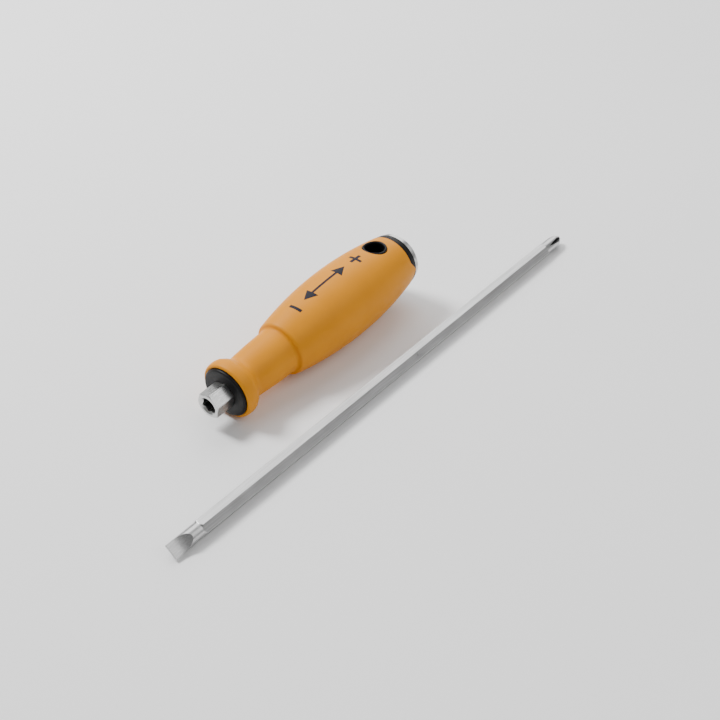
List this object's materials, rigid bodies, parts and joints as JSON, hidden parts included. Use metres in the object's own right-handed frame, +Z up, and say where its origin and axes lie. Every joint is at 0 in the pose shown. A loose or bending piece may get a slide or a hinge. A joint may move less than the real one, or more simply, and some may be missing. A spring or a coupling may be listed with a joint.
{
  "type": "reversible screwdriver",
  "caption": "Two-way strike-cap screwdriver: waisted orange handle with a hexagon bolster and socket, and a drawn-out hexagon blade with a slotted tip and a cross tip.",
  "frame": {"origin": "middle of the footprint, on the surface that handle and blade lie on", "axes": "+X along the blade from the slotted tip to the cross tip, +Y from the blade to the handle, +Z up"},
  "size_m": [0.258, 0.0557, 0.0328],
  "materials": {
    "orange_grip": "matt soft-touch moulding",
    "black_plastic": "satin moulding",
    "steel": "satin nickel-plated",
    "blade_steel": "satin drawn bar",
    "spring_steel": "bright"
  },
  "bodies": {
    "handle": {"bolster_tube": "steel", "bore_plug": "steel", "tang_pin": "steel", "retaining_clip": "spring_steel", "front_cap": "black_plastic", "handle_core": "black_plastic", "front_grip": "orange_grip", "main_grip": "orange_grip", "rear_ring": "black_plastic", "hang_liner": "black_plastic", "strike_cap": "steel"},
    "retainer": {"retaining_ball": "spring_steel"},
    "blade": {"blade": "blade_steel"}
  },
  "joints": [
    {"name": "blade_slide", "type": "slide", "parent": "handle", "child": "blade", "axis": [1, 0, 0], "range_m": [0, 0.084]},
    {"name": "ball_slide", "type": "slide", "parent": "handle", "child": "retainer", "axis": [-0.0437, -0.6947, 0.718], "range_m": [0, 0.00035], "stiffness_N_per_m": 800, "springref_m": -0.002, "deforming": ["retaining_clip"]}
  ]
}
